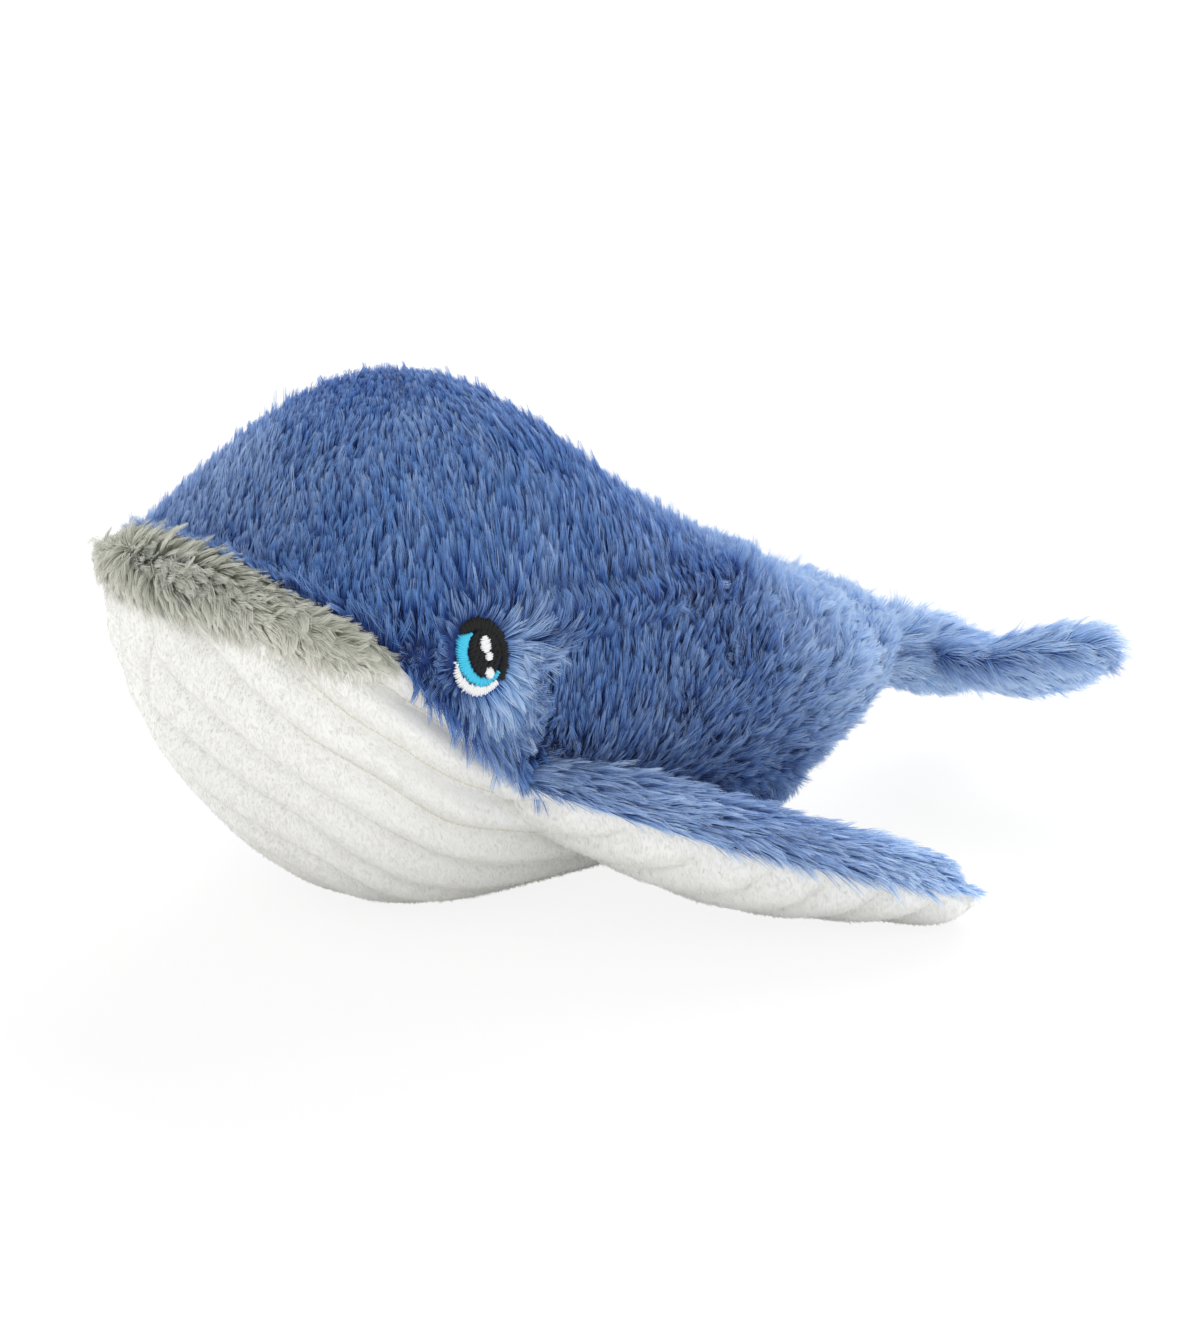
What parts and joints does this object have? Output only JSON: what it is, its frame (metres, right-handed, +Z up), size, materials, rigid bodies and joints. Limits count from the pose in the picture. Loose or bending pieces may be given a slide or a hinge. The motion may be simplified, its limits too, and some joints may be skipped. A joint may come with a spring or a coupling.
{
  "type": "plush whale",
  "caption": "Stuffed plush whale lying on its belly, with long blue pile, a grey-green lip band, a ribbed white throat, embroidered eyes, and fins and a tail that swing at their seams.",
  "frame": {"origin": "on the resting surface, under the middle of the whale's length and width", "axes": "+Y from nose to tail, +X the whale's left side, +Z up"},
  "size_m": [0.1992, 0.2498, 0.1165],
  "materials": {
    "blue_pile": "long combed blue polyester pile, soft sheen",
    "lip_pile": "long grey-green polyester pile",
    "white_nap": "short off-white brushed nap with stitched grooves",
    "stuffing": "loose white polyester fibre",
    "black_thread": "black satin stitch, slight sheen",
    "iris_thread": "turquoise satin stitch, slight sheen",
    "white_thread": "white satin stitch, slight sheen"
  },
  "bodies": {
    "body": {"body_stuffing": "stuffing", "back_panel_left": "blue_pile", "back_panel_right": "blue_pile", "upper_lip_band": "lip_pile", "throat_panel": "white_nap", "eye_left_white_satin": "white_thread", "eye_left_iris_satin": "iris_thread", "eye_left_pupil_satin": "black_thread", "eye_left_upper_glint": "white_thread", "eye_left_lower_glint": "white_thread", "eye_right_white_satin": "white_thread", "eye_right_iris_satin": "iris_thread", "eye_right_pupil_satin": "black_thread", "eye_right_upper_glint": "white_thread", "eye_right_lower_glint": "white_thread"},
    "left_fin": {"fin_left_top_panel": "blue_pile", "fin_left_bottom_panel": "white_nap", "fin_left_stuffing": "stuffing"},
    "right_fin": {"fin_right_top_panel": "blue_pile", "fin_right_bottom_panel": "white_nap", "fin_right_stuffing": "stuffing"},
    "tail": {"tail_top_panel": "blue_pile", "tail_bottom_panel": "blue_pile", "tail_stuffing": "stuffing"}
  },
  "joints": [
    {"name": "left_fin_seam", "type": "hinge", "parent": "body", "child": "left_fin", "pos_m": [0.04675, -0.045, 0.03175], "axis": [0.1714, -0.9274, 0.3326], "range_deg": [-15, 40], "stiffness_Nm_per_rad": 0.05},
    {"name": "right_fin_seam", "type": "hinge", "parent": "body", "child": "right_fin", "pos_m": [-0.04675, -0.045, 0.03175], "axis": [0.1714, 0.9274, -0.3326], "range_deg": [-15, 40], "stiffness_Nm_per_rad": 0.05},
    {"name": "tail_seam", "type": "hinge", "parent": "body", "child": "tail", "pos_m": [0, 0.07325, 0.0365], "axis": [1, 0, 0], "range_deg": [-20, 30], "stiffness_Nm_per_rad": 0.05}
  ]
}
